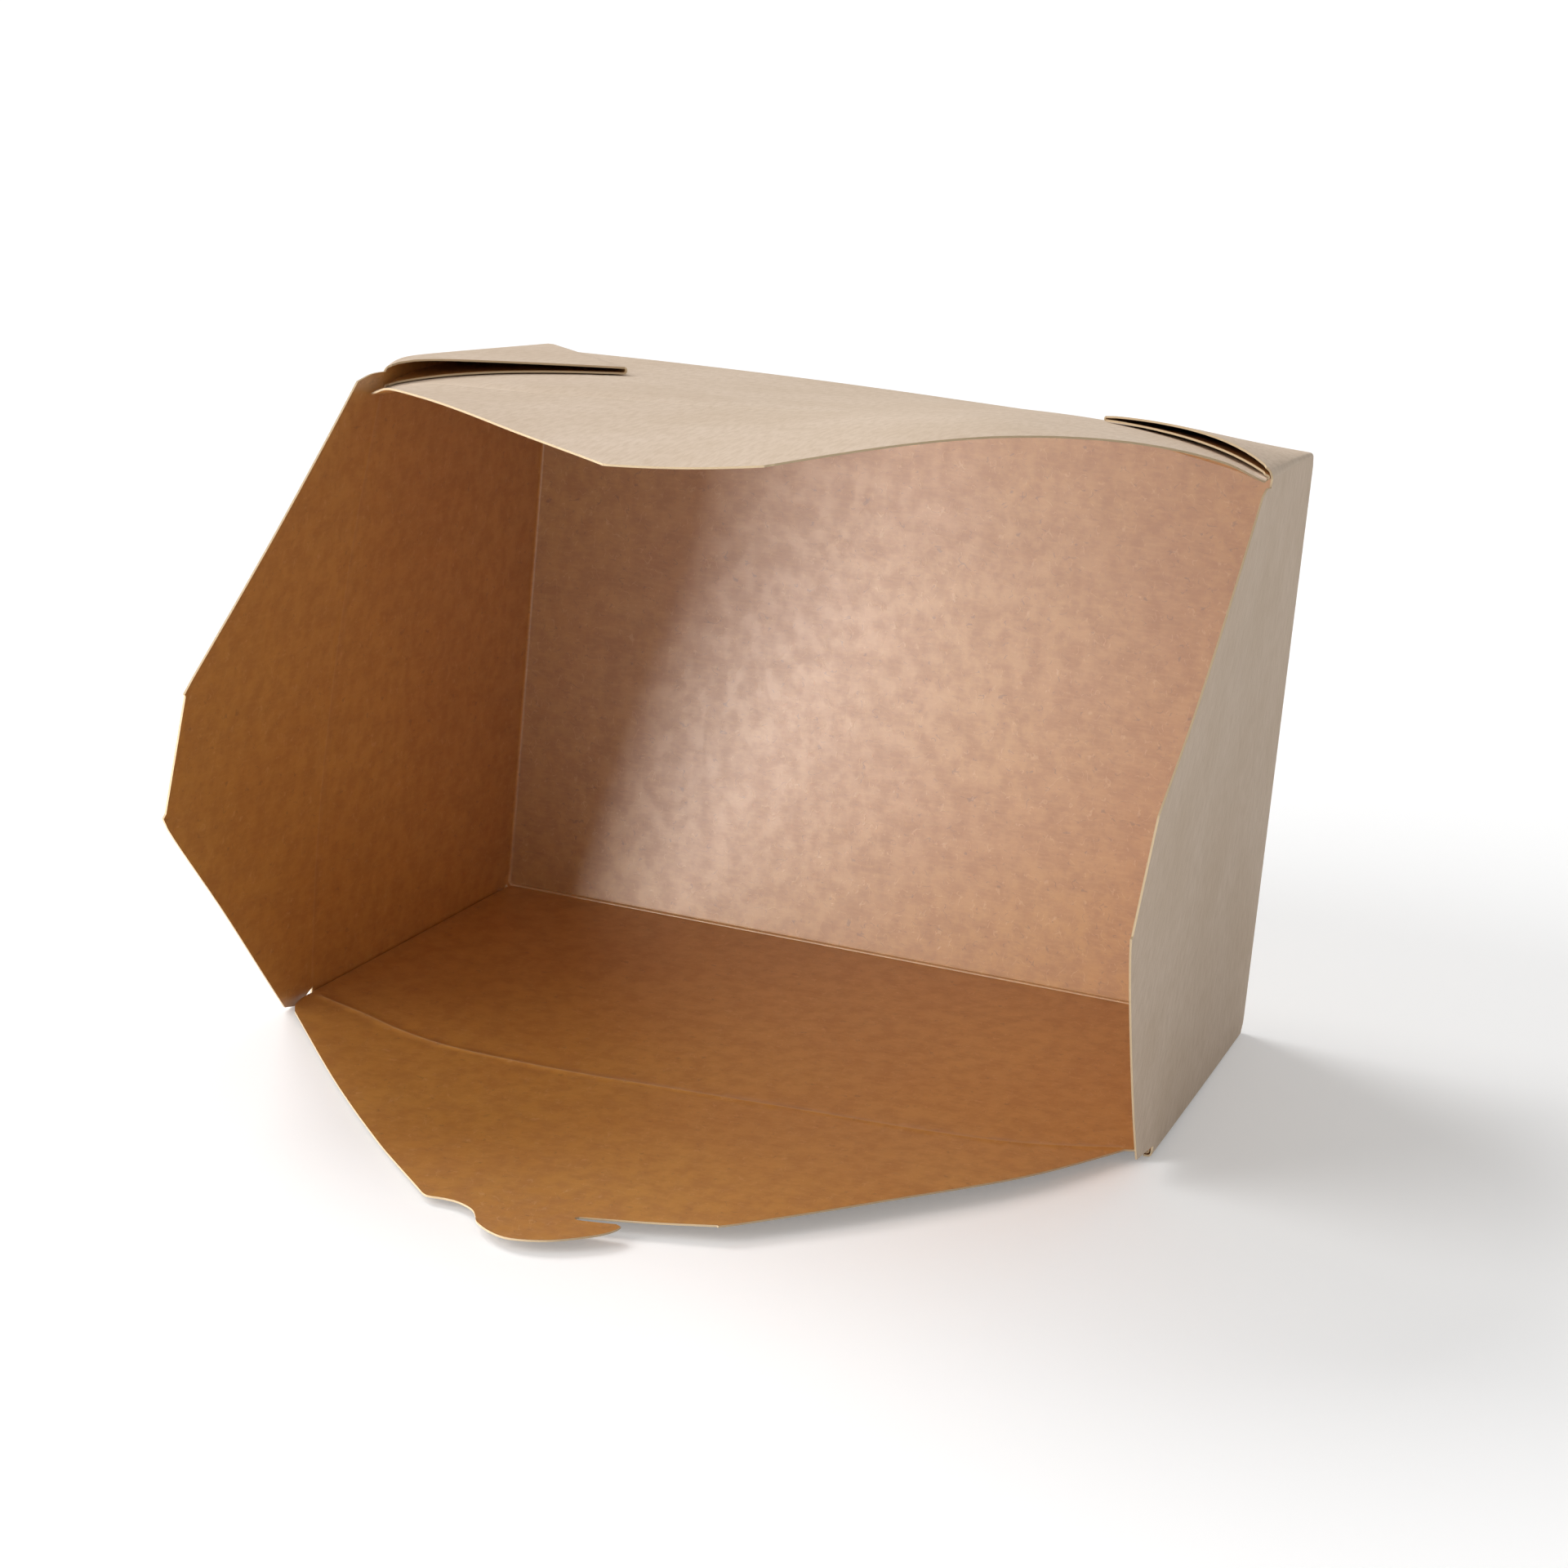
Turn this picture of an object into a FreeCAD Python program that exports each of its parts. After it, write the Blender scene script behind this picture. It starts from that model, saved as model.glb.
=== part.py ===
# A folded kraft-board takeaway box that lies open on one of its long side walls.
#
# One die-cut sheet makes the tray: a base, four walls that lean outwards, and a folded
# web at each corner that lies double on the outside of the long wall, so the box holds
# liquids without glue. A flap carries on from the rim of each wall. The creases between
# walls and flaps are curved, and each flap turns about the straight line between the
# two ends of its crease. Millimetres; +Z is up, the mouth of the box looks along -Y.
import FreeCAD, Part
import os
import re
import Sketcher

# Driving sizes: alias, value, what it is
DRIVING = [
    ("base_long", 197.0, "base, along its long side"),
    ("base_short", 140.0, "base, along its short side"),
    ("rim_height", 90.0, "height of the rim corners above the base, square to the base"),
    ("flare_long", 4.0, "degrees that the two long walls lean outwards"),
    ("flare_short", 4.0, "degrees that the two short walls lean outwards"),
    ("board", 0.45, "thickness of the board"),
    ("layer_gap", 0.3, "air between the board's layers where it is folded back on itself"),
    ("hem_width", 1.0, "width of the folded edge that joins two layers"),
    ("web_reach", 50.0, "distance up the corner edge at which the web's tip lies"),
    ("crease_gap", 0.7, "groove of a crease, between wall and flap"),
    ("crease_lift", 0.8, "how far the long flaps' creases lie above those of the short flaps"),
    ("corner_clear", 1.0, "each flap ends this far inside the rim's corner"),
    ("shoulder_out", 50.0, "long crease: half width of its nearly straight middle"),
    ("shoulder_rise", 17.0, "long crease: height of the shoulders above the ends"),
    ("shoulder_bulge", 3.5, "long crease: how far the curve bulges between end and shoulder"),
    ("middle_rise", 1.3, "long crease: rise of the middle above the shoulders"),
    ("short_rise", 7.0, "short crease: rise of the middle above the ends"),
    ("long_reach", 98.0, "long flaps: crease ends to the tip edge"),
    ("long_notch", 10.0, "long flaps: height of the straight start of each side"),
    ("long_notch_in", 2.4, "long flaps: how far the side has moved in at that height"),
    ("side_bulge", 4.0, "long flaps: how far the long sides bulge"),
    ("hook_tip_half", 32.5, "half width of the tip edge of the flap with the hook"),
    ("plain_tip_half", 18.0, "half width of the tip edge of the plain long flap"),
    ("short_reach", 75.5, "short flaps: crease ends to the tip edge"),
    ("short_notch", 12.3, "short flaps: height of the straight start of each side"),
    ("short_notch_in", 1.3, "short flaps: how far the side has moved in at that height"),
    ("short_tip_half", 14.0, "half width of the short flaps' tip edge"),
    ("hook_height", 20.0, "hook: height above the tip edge"),
    ("hook_neck_foot", 28.0, "hook: start of the neck's hollow curve, left of the middle"),
    ("hook_left", 17.5, "hook: left side of the head"),
    ("hook_neck_up", 10.0, "hook: height at which neck and head meet on the left"),
    ("hook_top", 4.0, "hook: highest point of the head, left of the middle"),
    ("hook_right", 11.7, "hook: point of the barb, right of the middle"),
    ("hook_barb_up", 5.8, "hook: height of the barb's point"),
    ("slit_end", 2.8, "hook: end of the slit under the barb, right of the middle"),
    ("slit_up", 2.6, "hook: height of the slit's lower side at its end"),
    ("slit_wide", 1.8, "hook: width of the slit"),
]

# Sizes worked out from the driving ones: alias, formula, what it is
WORKED_OUT = [
    ("rim_half_long", "base_long / 2 + rim_height * tan(flare_short)", "rim corner, along X"),
    ("rim_half_short", "base_short / 2 + rim_height * tan(flare_long)", "rim corner, along Y"),
    ("lean_short", "tan(flare_long) * cos(flare_short)", "slope of the short wall's side edges"),
    ("slant_long", "rim_height / cos(flare_long)", "long wall, up its slope"),
    ("slant_short", "rim_height / cos(flare_short)", "short wall, up its slope"),
    ("lean_long", "tan(flare_short) * cos(flare_long)", "slope of the long wall's side edges"),
    ("stack", "2 * (board + layer_gap)", "height of the folded web on the long wall"),
    ("short_edge", "base_short / 2 + stack", "side edge of the short wall at the base"),
    ("edge_in", "board + layer_gap", "the long wall ends this far inside the corner"),
    ("half_web", "(90 - flare_long - flare_short) / 2", "degrees between corner edge and web fold"),
    ("edge_rim", "rim_half_long - edge_in", "side edge of the long wall at the rim"),
    ("edge_foot", "base_long / 2 - edge_in", "side edge of the long wall at the base"),
    ("web_in", "web_reach * tan(half_web)", "web tip, square in from the corner edge"),
    ("web_tip_out", "base_long / 2 + web_reach * lean_long - web_in", "web tip, along the wall"),
    ("web_tip_up", "web_reach + web_in * lean_long", "web tip, up the wall"),
    ("hem_share", "hem_width / (slant_long * sin(half_web))", "diagonal hem, as a share of the web"),
    ("long_start", "rim_half_long - corner_clear", "long flap: half width at the crease's ends"),
    ("short_start", "rim_half_short - corner_clear", "short flap: the same"),
    ("wall_top_long", "slant_long + crease_lift", "long wall: height of the crease's ends"),
    ("barb_run", "hook_right + hook_top", "hook: from its top across to the barb's point"),
    ("barb_drop", "hook_height - hook_barb_up", "hook: from its top down to the barb's point"),
    ("neck_run", "hook_left - hook_top", "hook: from its top across to the neck"),
    ("neck_drop", "hook_height - hook_neck_up", "hook: from its top down to the neck"),
    ("front", "wall_top_long + long_reach + hook_height", "hook's top in front of the floor fold"),
    ("back", "base_short * sin(flare_long) + stack * sin(2 * flare_long)", "rearmost point"),
    ("fold_line", "(front - back) / 2", "floor fold behind the middle of the whole object"),
]


def size_sheet(doc):
    """One spreadsheet holds every size, and the outlines are bound to its cells."""
    sheet = doc.addObject("Spreadsheet::Sheet", "Sizes")
    row = 1
    for alias, value, note in DRIVING + WORKED_OUT:
        cell = "B%d" % row
        sheet.set("A%d" % row, note)
        sheet.setAlias(cell, alias)
        sheet.set(cell, str(value) if isinstance(value, float) else "=" + value)
        row += 1
    doc.recompute()
    return sheet


def cells(formula):
    """Write a formula about sizes with the sheet's name before each alias."""
    known = {alias for alias, _, _ in DRIVING + WORKED_OUT}
    return re.sub(r"[a-z_]+", lambda word: "Sizes." * (word[0] in known) + word[0], formula)


def place(across="0", up="0", out="0", tilt="0", turn="0"):
    """A placement formula: turn about Z, move, then tilt about X."""
    spin = "placement(vector(0; 0; 0); rotation(vector(0; 0; 1); %s))" % cells(turn)
    move = "placement(vector(%s; %s; %s); rotation(vector(1; 0; 0); %s))" % (
        cells(across), cells(up), cells(out), cells(tilt))
    return spin + " * " + move


def outline(body, name, plane, steps, offset=None):
    """Draw a closed outline, anticlockwise, on one of the body's own planes.

    Each step is a corner (across, up, bulge) in formulas. The bulge says how far the
    edge that leaves the corner bows to the outside, and None makes it straight.
    """
    sketch = body.newObject("Sketcher::SketchObject", name)
    support = [item for item in body.Origin.OriginFeatures if item.Role == plane][0]
    sketch.AttachmentSupport = [(support, "")]
    sketch.MapMode = "FlatFace"
    if offset:
        sketch.setExpression("AttachmentOffset", offset)
    steps = [(cells(x), cells(y), None if bulge is None else cells(bulge)) for x, y, bulge in steps]
    corners = [FreeCAD.Vector(float(sketch.evalExpression(x)), float(sketch.evalExpression(y)), 0)
               for x, y, _ in steps]
    starts = []
    for index, (x, y, bulge) in enumerate(steps):
        here = corners[index]
        there = corners[(index + 1) % len(steps)]
        bow = 0 if bulge is None else float(sketch.evalExpression(bulge))
        run = (there - here).normalize()
        middle = (here + there) * 0.5 + FreeCAD.Vector(run.y, -run.x, 0) * bow
        # A sketch's arcs run anticlockwise, so a hollow edge is drawn from its far end
        if bow == 0:
            sketch.addGeometry(Part.LineSegment(here, there))
        elif bow > 0:
            sketch.addGeometry(Part.Arc(here, middle, there))
        else:
            sketch.addGeometry(Part.Arc(there, middle, here))
        starts.append(2 if bow < 0 else 1)
    for index, (x, y, bulge) in enumerate(steps):
        following = (index + 1) % len(steps)
        meet = Sketcher.Constraint("Coincident", index, 3 - starts[index], following, starts[following])
        sketch.addConstraint(meet)
        bind(sketch, "DistanceX", (-1, 1, index, starts[index]), corners[index].x, x)
        bind(sketch, "DistanceY", (-1, 1, index, starts[index]), corners[index].y, y)
        if bulge is not None:
            next_x, next_y, _ = steps[following]
            chord = "((%s) - (%s))^2 + ((%s) - (%s))^2" % (next_x, x, next_y, y)
            radius = "((%s) / 4 + (%s)^2) / (2 * abs(%s))" % (chord, bulge, bulge)
            bind(sketch, "Radius", (index,), sketch.Geometry[index].Radius, radius)
    return sketch


def bind(sketch, kind, where, value, formula):
    """Add one dimension to a sketch and tie it to the sheet."""
    number = sketch.addConstraint(Sketcher.Constraint(kind, *where, value))
    sketch.setExpression("Constraints[%d]" % number, formula)


def plate(body, name, sketch, thickness):
    """Thicken an outline, away from its plane on the side of its normal."""
    pad = body.newObject("PartDesign::Pad", name)
    pad.Profile = sketch
    pad.setExpression("Length", cells(thickness))
    return pad


def mirror(body, name, features, plane):
    """Repeat features on the far side of one of the body's planes."""
    copy = body.newObject("PartDesign::Mirrored", name)
    support = [item for item in body.Origin.OriginFeatures if item.Role == plane][0]
    copy.Originals = features
    copy.MirrorPlane = (support, [""])
    body.Tip = copy
    return copy


def long_crease(half_width, level):
    """The long flaps' curved crease, from its right end over to its left end."""
    return [
        (half_width, level, "shoulder_bulge"),
        ("shoulder_out", level + " + shoulder_rise", "middle_rise"),
        ("-1 * shoulder_out", level + " + shoulder_rise", "shoulder_bulge"),
        ("-1 * " + half_width, level, None),
    ]


def reversed_crease(steps):
    """The same curve walked from left to right, so that it bows into the outline."""
    bulges = [bulge for _, _, bulge in steps[:-1]]
    walked = []
    for (x, y, _), bulge in zip(reversed(steps), list(reversed(bulges)) + [None]):
        walked.append((x, y, None if bulge is None else "-1 * " + bulge))
    return walked


def on_long_wall(out):
    """Where a layer of the front long wall starts, outwards from the wall's outer face."""
    return (place(out="base_short / 2", tilt="flare_long") + " * " + place(out=out))


def both_ends(body, name, corners, out, thickness):
    """A layer at the right end of the long wall and its twin at the left end."""
    pads = []
    for end, side in (("right", ""), ("left", "-1 * ")):
        ordered = corners if side == "" else list(reversed(corners))
        steps = [(side + "(%s)" % x, y, None) for x, y in ordered]
        sketch = outline(body, "%s_%s_outline" % (name, end), "XZ_Plane", steps, on_long_wall(out))
        pads.append(plate(body, "%s_%s" % (name, end), sketch, thickness))
    return pads


def long_wall(body):
    """One long wall with the two folded webs that lie on its outside."""
    level = "wall_top_long - crease_gap / 2"
    edge = [("-1 * edge_foot", "0", None), ("edge_foot", "0", None), ("edge_rim", level, None)]
    crease = long_crease("long_start - layer_gap", level)
    wall_outline = edge + crease + [("-1 * edge_rim", level, None)]
    sketch = outline(body, "long_wall_outline", "XZ_Plane", wall_outline, on_long_wall("-1 * board"))
    parts = [plate(body, "long_wall", sketch, "board")]

    # The wall's side edge is folded back through half a turn and becomes the inner layer
    side_hem = [("edge_foot - hem_width", "0"), ("edge_foot", "0"),
                ("edge_rim", "slant_long"), ("edge_rim - hem_width", "slant_long")]
    parts += both_ends(body, "side_hem", side_hem, "-0.5 * board", "layer_gap + board")
    inner = [("web_tip_out", "web_tip_up"), ("edge_foot", "0"), ("edge_rim", "slant_long")]
    parts += both_ends(body, "web_inner", inner, "layer_gap", "board")

    # The inner layer turns back along the diagonal and becomes the outer layer
    diagonal_hem = [
        ("web_tip_out", "web_tip_up"),
        ("edge_foot", "0"),
        ("edge_foot + hem_share * (edge_rim - edge_foot)", "hem_share * slant_long"),
        ("web_tip_out + hem_share * (edge_rim - web_tip_out)",
         "web_tip_up + hem_share * (slant_long - web_tip_up)"),
    ]
    parts += both_ends(body, "web_hem", diagonal_hem, "layer_gap + 0.5 * board", "layer_gap + board")

    # The outer layer runs on to the corner, where the short wall carries on from it
    outer = [("web_tip_out", "web_tip_up"), ("base_long / 2", "0"), ("rim_half_long", "slant_long")]
    parts += both_ends(body, "web_outer", outer, "2 * layer_gap + board", "board")
    return parts


def short_wall(body):
    """One short wall, wide enough to carry round into the webs' outer layers."""
    level = "slant_short - crease_gap / 2"
    edge_top = "short_edge + (%s) * lean_short" % level
    steps = [
        ("-1 * short_edge", "0", None),
        ("short_edge", "0", None),
        (edge_top, level, None),
        ("short_start", level, "short_rise"),
        ("-1 * short_start", level, None),
        ("-1 * (%s)" % edge_top, level, None),
    ]
    where = place(out="base_long / 2", tilt="flare_short") + " * " + place(out="-1 * board")
    sketch = outline(body, "short_wall_outline", "YZ_Plane", steps, where)
    return [plate(body, "short_wall", sketch, "board")]


def lying():
    """The upright tray is laid on its front long wall, clear of the floor by the web."""
    return place(up="fold_line + base_short / 2 * sin(flare_long)",
                 out="base_short / 2 * cos(flare_long) + stack", tilt="90 - flare_long")


def tray(doc):
    """Base, walls and webs, folded from one sheet."""
    body = doc.addObject("PartDesign::Body", "tray")
    doc.recompute()
    base = [("-1 * base_long / 2", "-1 * base_short / 2", None),
            ("base_long / 2", "-1 * base_short / 2", None),
            ("base_long / 2", "base_short / 2", None),
            ("-1 * base_long / 2", "base_short / 2", None)]
    plate(body, "base", outline(body, "base_outline", "XY_Plane", base), "board")
    ends = short_wall(body)
    mirror(body, "both_short_walls", ends, "YZ_Plane")
    sides = long_wall(body)
    mirror(body, "both_long_walls", sides, "XZ_Plane")
    body.setExpression("Placement", lying())
    return body


def flap(doc, name, steps, turn, half, flare, crease_level):
    """A flat flap whose hinge line is its own X axis, seated on one wall of the tray."""
    body = doc.addObject("PartDesign::Body", name)
    doc.recompute()
    sketch = outline(body, name + "_outline", "XY_Plane", steps, place(out="-0.5 * board"))
    plate(body, name + "_plate", sketch, "board")
    wall = place(up="-1 * %s / 2" % half, tilt="90 + " + flare, turn=turn)
    hinge = place(up=crease_level, out="-0.5 * board")
    body.setExpression("Placement", " * ".join([lying(), wall, hinge]))
    return body


def long_flap_sides(tip_half):
    """The right side up to the tip edge, and the left side back down from it."""
    right = [("long_start - long_notch_in", "long_notch", "side_bulge"), (tip_half, "long_reach", None)]
    left = [("-1 * " + tip_half, "long_reach", "side_bulge"),
            ("-1 * (long_start - long_notch_in)", "long_notch", None)]
    return right, left


def level_arc_bulge(run, drop):
    """How far an arc bows that is level at the hook's top and ends run across, drop below."""
    radius = "(%s^2 + %s^2) / (2 * %s)" % (run, drop, drop)
    return "%s - sqrt((%s)^2 - (%s^2 + %s^2) / 4)" % (radius, radius, run, drop)


def hook():
    """The hook on the tip edge, walked from its slit on the right to its neck."""
    root = "long_reach + slit_up"
    return [
        ("slit_end", root, "-0.35 * slit_wide"),
        ("slit_end", root + " + slit_wide", None),
        ("hook_right", "long_reach + hook_barb_up", level_arc_bulge("barb_run", "barb_drop")),
        ("-1 * hook_top", "long_reach + hook_height", level_arc_bulge("neck_run", "neck_drop")),
        ("-1 * hook_left", "long_reach + hook_neck_up", "-1 * hook_neck_up / 4"),
        ("-1 * hook_neck_foot", "long_reach", None),
    ]


def flaps(doc):
    """Two long and two short flaps; the one with the hook lies on the floor."""
    crease = reversed_crease(long_crease("long_start", "crease_gap / 2"))
    right, left = long_flap_sides("hook_tip_half")
    flap(doc, "hook_flap", crease + right + hook() + left,
         "0", "base_short", "flare_long", "wall_top_long")
    right, left = long_flap_sides("plain_tip_half")
    flap(doc, "plain_flap", crease + right + left,
         "180", "base_short", "flare_long", "wall_top_long")
    short = [
        ("-1 * short_start", "crease_gap / 2", "-1 * short_rise"),
        ("short_start", "crease_gap / 2", None),
        ("short_start - short_notch_in", "short_notch", None),
        ("short_tip_half", "short_reach", None),
        ("-1 * short_tip_half", "short_reach", None),
        ("-1 * (short_start - short_notch_in)", "short_notch", None),
    ]
    flap(doc, "right_flap", short, "90", "base_long", "flare_short", "slant_short")
    flap(doc, "left_flap", short, "-90", "base_long", "flare_short", "slant_short")


def check(doc):
    """Stop if any object failed or any piece is not one valid solid."""
    for item in doc.Objects:
        if "Invalid" in item.State or "Error" in item.State:
            raise RuntimeError("%s failed: %s" % (item.Label, item.State))
    for body in pieces(doc):
        shape = body.Shape
        if shape.isNull() or not shape.isValid() or len(shape.Solids) != 1:
            raise RuntimeError("%s is not one valid solid" % body.Label)


def pieces(doc):
    """The sub-parts, in the order in which they were made."""
    return [item for item in doc.Objects if item.TypeId == "PartDesign::Body"]


doc = FreeCAD.newDocument("TakeawayBox")
size_sheet(doc)
tray(doc)
flaps(doc)
doc.recompute()
check(doc)
os.makedirs("parts", exist_ok=True)
for body in pieces(doc):
    body.Shape.exportStep("parts/%s.step" % body.Label)
    print(body.Label, round(body.Shape.Volume, 1), body.Shape.BoundBox)
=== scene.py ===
# %% [markdown]
# # A takeaway box folded from one sheet of kraft board
#
# The real thing is one die-cut sheet. It is folded up into a tray with flared walls, and its
# corners are webs: triangles of the same sheet, folded double against the long walls. Here the box
# lies on one long wall, with its mouth towards us and its four lid flaps standing open.
# The lesson builds the sheet panel by panel, as thin board with an outside, an inside and a cut
# edge, and then lets each flap bend at its crease. First the CAD frame is loaded, because every
# piece has to sit where the CAD says.

# %% Load the frame
import math

import bpy
import numpy as np
from mathutils import Matrix, Vector
from mathutils.geometry import delaunay_2d_cdt


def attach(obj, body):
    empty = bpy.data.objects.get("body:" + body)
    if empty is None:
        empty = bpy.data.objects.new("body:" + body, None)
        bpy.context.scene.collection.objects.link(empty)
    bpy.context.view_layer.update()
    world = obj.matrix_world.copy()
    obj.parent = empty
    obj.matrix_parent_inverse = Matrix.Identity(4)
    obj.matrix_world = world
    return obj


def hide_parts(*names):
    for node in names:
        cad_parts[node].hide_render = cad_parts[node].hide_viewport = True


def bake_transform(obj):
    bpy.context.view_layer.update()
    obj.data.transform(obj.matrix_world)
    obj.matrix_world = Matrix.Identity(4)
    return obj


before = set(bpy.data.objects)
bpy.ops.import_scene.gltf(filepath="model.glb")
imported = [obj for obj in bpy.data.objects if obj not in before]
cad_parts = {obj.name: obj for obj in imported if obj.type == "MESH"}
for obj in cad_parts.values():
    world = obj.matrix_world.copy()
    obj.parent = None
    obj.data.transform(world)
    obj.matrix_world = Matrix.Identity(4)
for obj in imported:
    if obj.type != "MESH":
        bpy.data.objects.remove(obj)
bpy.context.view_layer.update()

# %% [markdown]
# ## The sizes
#
# A folded box is easiest to think of standing upright: a base, and walls that lean out by the same
# few degrees. All sizes below are in millimetres, as on a die maker's drawing, and become metres
# only when a mesh is made. The board is under half a millimetre thick. What follows from the base,
# the height and the flare is worked out and not typed, so one change keeps the box whole.

# %% Sizes of the sheet
MM = 0.001
BASE_HALF_LONG = 98.5
BASE_HALF_SHORT = 70.0
RIM_HEIGHT = 90.0
FLARE = math.radians(4)
BOARD = 0.45
SLANT = RIM_HEIGHT / math.cos(FLARE)
CREASE_ALLOWANCE = 0.8
LONG_WALL = SLANT + CREASE_ALLOWANCE
SHORT_WALL = SLANT
RIM_HALF_LONG = BASE_HALF_LONG + RIM_HEIGHT * math.tan(FLARE)
RIM_HALF_SHORT = BASE_HALF_SHORT + RIM_HEIGHT * math.tan(FLARE)

# A web lies on its long wall in two layers, and the box stands on the lower webs.
WEB_STACK = 1.5
INSIDE_LAYER = 0.525
OUTSIDE_LAYER = 1.275

# Where the base's fold on the floor lies along Y in the CAD.
FOLD_LINE = 99.5226
print("walls", round(LONG_WALL, 2), "and", round(SHORT_WALL, 2), "mm up the slope")

# %% [markdown]
# ## From the upright box to the lying one
#
# A used carton is never quite true. Its mouth is racked: opposite corners have shifted, so that the
# rim is a rhombus and not a rectangle, and the wall on top has sprung up in the middle. One
# function bends every point of the box in the same way, so neighbouring panels stay joined.
# A lattice modifier could do that too, but a function can also be used for the flaps.
# Then the box is laid on its long wall, and settled so that its lowest web just touches the floor.

# %% Racking the box out of true
RACK_ALONG = 0.056
RACK_ACROSS = 0.015
TOP_SPRING = 2.4


def racked(points):
    """Upright millimetres: the mouth shears, and the top wall springs up in its middle."""
    x, y, z = points.T
    share = z / RIM_HEIGHT
    spring = TOP_SPRING * (1 - (x / RIM_HALF_LONG) ** 2) * np.clip((1 + y / BASE_HALF_SHORT) / 2, 0, 1)
    return np.stack([x + RACK_ALONG * y * share, y + RACK_ACROSS * x * share + spring, z], 1)


print("the rim's long sides shift by", round(RACK_ALONG * RIM_HALF_SHORT, 1), "mm each way")

# %% Laying the box down
SETTLE_TILT = RACK_ACROSS / 2
SETTLE_LIFT = 0.75


def settled(points):
    """The box's own small tilt on the floor, about the row's Y axis."""
    x, y, z = points.T
    c, s = math.cos(SETTLE_TILT), math.sin(SETTLE_TILT)
    return np.stack([x * c + z * s, y, z * c - x * s + SETTLE_LIFT], 1)


def laid(points):
    """Upright millimetres to the row frame: the front long wall goes down on the floor."""
    x, y, z = racked(np.asarray(points, float)).T
    c, s = math.cos(FLARE), math.sin(FLARE)
    across = y + BASE_HALF_SHORT
    return settled(np.stack([x, s * across - c * z + FOLD_LINE, c * across + s * z + WEB_STACK], 1))


def on_long_wall(side, x, up, out):
    """A point of a long wall or its flap: side -1 is the floor's, +1 is on top."""
    s, c = math.sin(FLARE), math.cos(FLARE)
    return (x, side * (BASE_HALF_SHORT + up * s + out * c), up * c - out * s)


def on_short_wall(side, y, up, out):
    """A point of a short wall or its flap: side -1 is left, +1 is right."""
    s, c = math.sin(FLARE), math.cos(FLARE)
    return (side * (BASE_HALF_LONG + up * s + out * c), y, up * c - out * s)


corners = [on_long_wall(a, b * RIM_HALF_LONG, SLANT, 0) for a in (-1, 1) for b in (-1, 1)]
print("rim corners in mm:", laid(corners).round(1).tolist())

# %% [markdown]
# ## The wall on top has a memory
#
# Nothing holds the free wall on top but the board itself. It has bellied up on its right, and its
# free corner on the left hangs. Both shapes are needed three times: by the wall, by the webs that
# lie on it and by the flap that goes on from it. So each is a small function of a place on the wall.

# %% The top wall's crest and its hanging corner
CREST = 5.1
DIP = 5.2
DIP_REACH = 20
WAVE_HALF = 105
WAVE_TOP = 91
FREE_CORNER = (-104.5, 91)


def crest(x, up):
    """How far the top long wall has bellied up on its right side, in mm."""
    across = x / WAVE_HALF
    share = min(1.0, up / WAVE_TOP)
    fade = math.exp(-(min(0.0, across - 0.5) / 0.42) ** 2)
    return CREST * share * (2 - share) * max(0.0, 1 - across ** 6) * fade


def corner_dip(x, up):
    """How far its free corner on the left hangs down, in mm."""
    return DIP * math.exp(-math.hypot(x - FREE_CORNER[0], up - FREE_CORNER[1]) / DIP_REACH)


print("crest", round(crest(45, 91), 1), "mm, hanging corner", round(corner_dip(*FREE_CORNER), 1), "mm")

# %% [markdown]
# ## Three finishes of one board
#
# Kraft board for food is brown pulp. Outside it is bare: matt, with short fibres. Inside it has
# a thin clear film, so it is darker, warmer and satin. Where it is cut, the pale core shows.
# Image textures could carry the fibres, but noise that is stretched along one direction does it at
# any zoom and never repeats. Each helper below adds one step, so a finish reads as a short recipe.

# %% A colour and a material
def tone(code):
    """A colour written as six hex digits, in the linear values that shaders use."""
    parts = [int(code[i:i + 2], 16) / 255 for i in (0, 2, 4)]
    return [p / 12.92 if p <= 0.04045 else ((p + 0.055) / 1.055) ** 2.4 for p in parts] + [1.0]


class Finish:
    """A new material with its node tree and its shader."""

    def __init__(self, name):
        self.material = bpy.data.materials.new(name)
        self.material.use_nodes = True
        self.tree = self.material.node_tree
        self.shader = self.tree.nodes["Principled BSDF"]


def put(finish, socket, value):
    """Set a socket to a plain value, or link another node's output to it."""
    if isinstance(value, bpy.types.NodeSocket):
        finish.tree.links.new(value, socket)
    else:
        socket.default_value = value


print("the inside's brown in linear values:", [round(value, 3) for value in tone("b5792c")[:3]])

# %% Sums, mixes and ramps
def calc(finish, operation, a, b=0.0):
    made = finish.tree.nodes.new("ShaderNodeMath")
    made.operation = operation
    for socket, value in zip(made.inputs, (a, b)):
        put(finish, socket, value)
    return made.outputs[0]


def mixed(finish, share, first, second):
    """One colour at share 0 and the other at share 1."""
    made = finish.tree.nodes.new("ShaderNodeMix")
    made.data_type = "RGBA"
    put(finish, made.inputs["Factor"], share)
    put(finish, made.inputs["A"], first)
    put(finish, made.inputs["B"], second)
    return made.outputs["Result"]


def ramp(finish, value, low, high, to_low=0.0, to_high=1.0):
    """A soft step from to_low to to_high, while the value goes from low to high."""
    made = finish.tree.nodes.new("ShaderNodeMapRange")
    made.interpolation_type = "SMOOTHSTEP"
    for socket, number in zip(made.inputs, (value, low, high, to_low, to_high)):
        put(finish, socket, number)
    return made.outputs[0]


# %% [markdown]
# ## Fibres that stay on the board
#
# Every vertex will keep its place on the flat sheet in an attribute, and the strength of its crease
# in another. Object coordinates would be less work, but the fibres would slide over a flap when
# it turns. On the flat sheet they run on over every fold, as they do in real board.

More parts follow.
